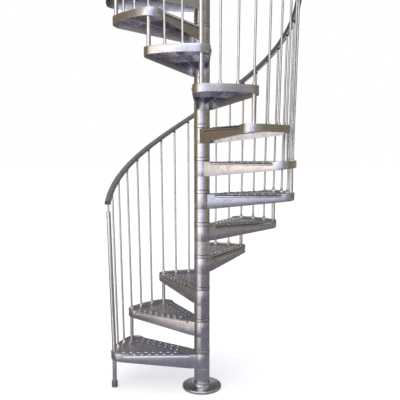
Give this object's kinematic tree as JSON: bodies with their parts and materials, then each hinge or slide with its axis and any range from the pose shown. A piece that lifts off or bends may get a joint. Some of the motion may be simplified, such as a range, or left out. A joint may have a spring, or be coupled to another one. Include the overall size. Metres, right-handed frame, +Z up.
{
  "type": "spiral staircase",
  "caption": "Galvanised steel spiral staircase with pressed treads on a centre column, round balusters and a helical plastic handrail.",
  "frame": {"origin": "on the column's axis, at the underside of the base plate, which is floor level", "axes": "+Z up along the column; the first post stands on the -X side, and the stair climbs clockwise seen from above"},
  "size_m": [1.2567, 1.2558, 3.7883],
  "materials": {
    "galvanised": "hot-dip galvanised, mottled spangle, satin",
    "tread_steel": "hot-dip galvanised pressed sheet, satin",
    "tube_steel": "bright zinc-plated tube",
    "foot_steel": "dull grey",
    "rail_plastic": "dark grey PVC, satin",
    "black_cap": "black moulded plastic"
  },
  "bodies": {
    "root": {"base_plate": "galvanised", "centre_pole": "galvanised", "spacer_sleeves": "galvanised", "levelling_rings": "galvanised", "newel_sleeve": "galvanised", "column_cap": "black_cap", "tread_01": "tread_steel", "tread_02": "tread_steel", "tread_03": "tread_steel", "tread_04": "tread_steel", "tread_05": "tread_steel", "tread_06": "tread_steel", "tread_07": "tread_steel", "tread_08": "tread_steel", "tread_09": "tread_steel", "tread_10": "tread_steel", "tread_11": "tread_steel", "landing_tread": "tread_steel", "balusters_01": "tube_steel", "balusters_02": "tube_steel", "balusters_03": "tube_steel", "balusters_04": "tube_steel", "balusters_05": "tube_steel", "balusters_06": "tube_steel", "balusters_07": "tube_steel", "balusters_08": "tube_steel", "balusters_09": "tube_steel", "balusters_10": "tube_steel", "balusters_11": "tube_steel", "balusters_12": "tube_steel", "tie_tubes": "tube_steel", "baluster_cones": "tube_steel", "baluster_nuts": "tube_steel", "baluster_collars": "black_cap", "start_post": "tube_steel", "start_foot": "foot_steel", "middle_post": "tube_steel", "end_post": "tube_steel", "handrail_strip": "tube_steel", "handrail": "rail_plastic", "handrail_caps": "rail_plastic"}
  },
  "joints": []
}
